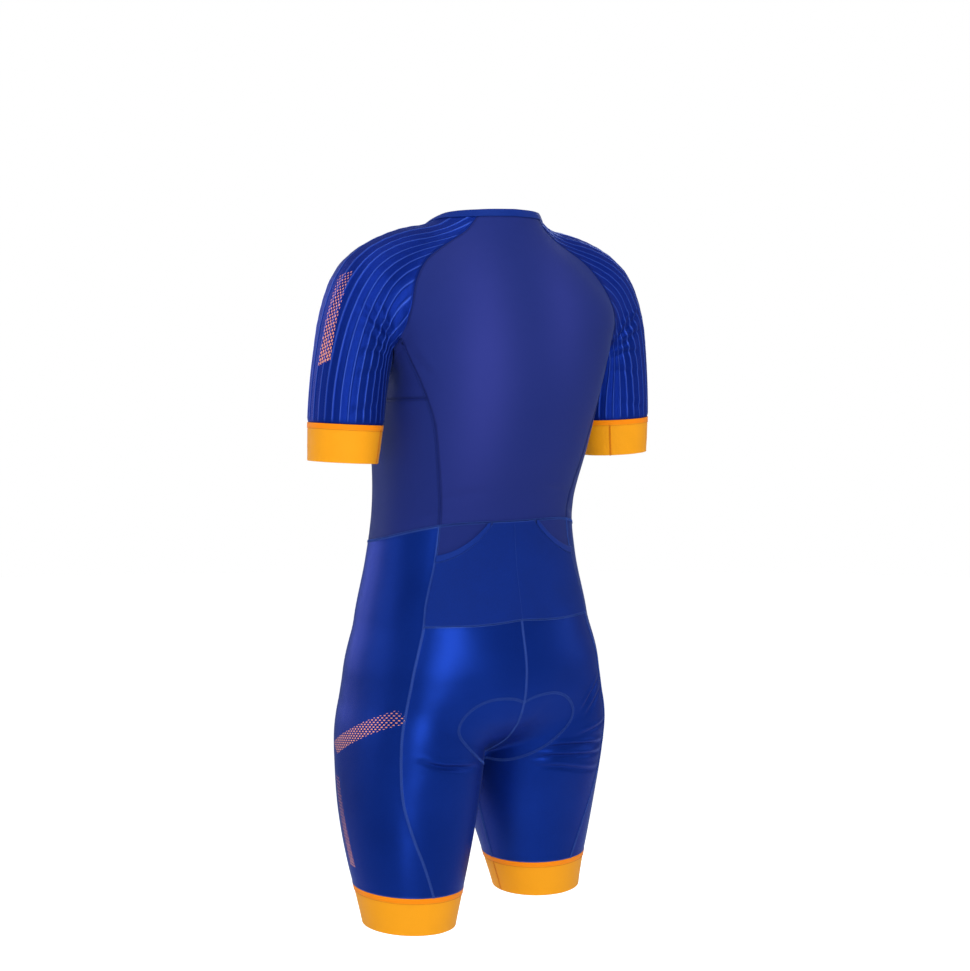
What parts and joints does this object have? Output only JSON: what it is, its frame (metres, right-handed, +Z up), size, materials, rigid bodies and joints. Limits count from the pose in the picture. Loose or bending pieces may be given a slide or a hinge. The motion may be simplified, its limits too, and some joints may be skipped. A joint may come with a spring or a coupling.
{
  "type": "triathlon suit",
  "caption": "Short-sleeved one-piece triathlon suit in its worn form, hollow, with raglan sleeves, front zip, back pocket, seat pad and wide elastic cuffs.",
  "frame": {"origin": "middle of the neck opening, where the wearer's neck and shoulders hold the suit", "axes": "+Z up the body, -Y to the suit's front, +X to the wearer's left"},
  "size_m": [0.504, 0.2616, 0.906],
  "materials": {
    "mesh": "matt two-way stretch mesh knit, royal blue",
    "lycra": "satin stretch knit, royal blue",
    "ribbed": "stretch knit with raised lengthwise lines, royal blue",
    "binding": "folded stretch binding and mesh, blue",
    "cuff": "matt elastic gripper band, orange",
    "pad": "brushed foam-backed knit, dark blue",
    "zip": "woven zip tape with coil, dark blue",
    "metal": "painted die-cast metal, dark blue"
  },
  "bodies": {
    "suit": {"back_panel": "mesh", "front_left": "mesh", "front_right": "mesh", "underarm_gusset_left": "mesh", "underarm_gusset_right": "mesh", "side_panel_left": "mesh", "side_panel_right": "mesh", "lower_back": "mesh", "pocket_panel": "binding", "pocket_binding_left": "binding", "pocket_binding_right": "binding", "short_front_left": "lycra", "short_front_right": "lycra", "leg_side_left": "lycra", "leg_side_right": "lycra", "seat_left": "lycra", "seat_right": "lycra", "leg_cuff_left": "cuff", "leg_cuff_right": "cuff", "sleeve_cuff_left": "cuff", "sleeve_cuff_right": "cuff", "sleeve_left": "ribbed", "sleeve_right": "ribbed", "neckband": "binding", "zip_tape_left": "zip", "zip_tape_right": "zip", "zip_slider": "metal", "seat_pad": "pad"},
    "zip_pull": {"zip_pull": "metal"}
  },
  "joints": [
    {"name": "zip_pull_hinge", "type": "hinge", "parent": "suit", "child": "zip_pull", "pos_m": [0, -0.096, -0.0581], "axis": [-1, 0, 0], "range_deg": [0, 150]}
  ]
}
